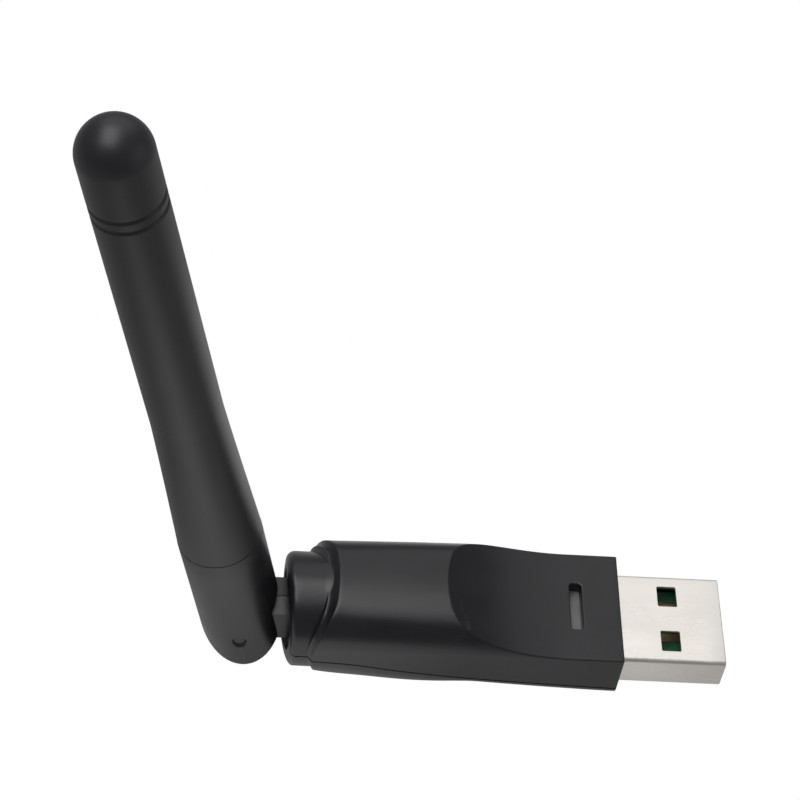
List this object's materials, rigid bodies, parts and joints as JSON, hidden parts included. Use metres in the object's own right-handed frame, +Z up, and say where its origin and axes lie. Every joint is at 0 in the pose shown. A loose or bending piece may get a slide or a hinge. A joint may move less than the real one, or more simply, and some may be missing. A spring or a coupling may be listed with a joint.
{
  "type": "usb wifi adapter",
  "caption": "Black wireless adapter stick with a metal USB plug, a scooped housing with a status window, and a round stub antenna on a folding, swivelling joint.",
  "frame": {"origin": "on the plug's centre line, in the plane of the housing's front face, where the adapter seats against a port", "axes": "+X out along the plug; +Z up, out of the deck with the status window; +Y to the right-handed side across the plug's width"},
  "size_m": [0.0749, 0.0146, 0.0833],
  "materials": {
    "upper_shell": "black moulded ABS, fine satin",
    "lower_shell": "black moulded ABS, fine satin",
    "nickel_plate": "satin nickel plate on folded steel",
    "insert_plastic": "black glass-filled nylon",
    "circuit_board": "green solder mask on glass-epoxy board",
    "gold_contact": "gold flash on copper",
    "chip_resin": "moulded epoxy",
    "can_steel": "plated steel can",
    "ceramic": "ceramic, satin",
    "resistor_glaze": "glazed",
    "led_resin": "clear resin over a chip",
    "light_pipe": "smoked translucent acrylic",
    "solder": "bright solder",
    "coax_jacket": "thin jacket on a micro coax",
    "swivel_plastic": "black acetal, slightly glossy",
    "washer_steel": "spring steel",
    "antenna_base_plastic": "black moulded plastic, smoother than the sleeve",
    "antenna_sleeve_rubber": "soft black elastomer, fine matte texture",
    "pin_plastic": "black moulded pin",
    "copper": "bare copper",
    "spacer_nylon": "natural nylon"
  },
  "bodies": {
    "adapter": {"upper_housing": "upper_shell", "lower_housing": "lower_shell", "usb_shell": "nickel_plate", "tongue_spacer": "insert_plastic", "plug_insert": "insert_plastic", "main_board": "circuit_board", "contact_ground": "gold_contact", "contact_data_plus": "gold_contact", "contact_data_minus": "gold_contact", "contact_power": "gold_contact", "wifi_chip": "chip_resin", "memory_chip": "chip_resin", "voltage_regulator": "chip_resin", "crystal_can": "can_steel", "input_capacitor": "ceramic", "output_capacitor": "ceramic", "filter_capacitor": "ceramic", "led_resistor": "resistor_glaze", "bias_resistor": "resistor_glaze", "matching_inductor": "ceramic", "matching_capacitor": "ceramic", "status_led": "led_resin", "window_light_pipe": "light_pipe", "feed_solder_joint": "solder", "ground_solder_joint": "solder", "coax_board_lead": "coax_jacket"},
    "swivel": {"swivel_neck": "swivel_plastic", "friction_washer": "washer_steel", "coax_swivel_lead": "coax_jacket"},
    "antenna": {"antenna_base": "antenna_base_plastic", "antenna_sleeve": "antenna_sleeve_rubber", "hinge_pin_left": "pin_plastic", "hinge_pin_right": "pin_plastic", "coax_antenna_lead": "coax_jacket", "radiator_tube": "copper", "radiator_whip": "copper", "whip_spacer": "spacer_nylon"}
  },
  "joints": [
    {"name": "swivel_turn", "type": "hinge", "parent": "adapter", "child": "swivel", "pos_m": [-0.0436, 0, 0.0009], "axis": [1, 0, 0], "range_deg": [-90, 90]},
    {"name": "antenna_fold", "type": "hinge", "parent": "swivel", "child": "antenna", "pos_m": [-0.0436, 0, 0.00045], "axis": [0, 1, 0], "range_deg": [-78.2, 11.8]}
  ]
}
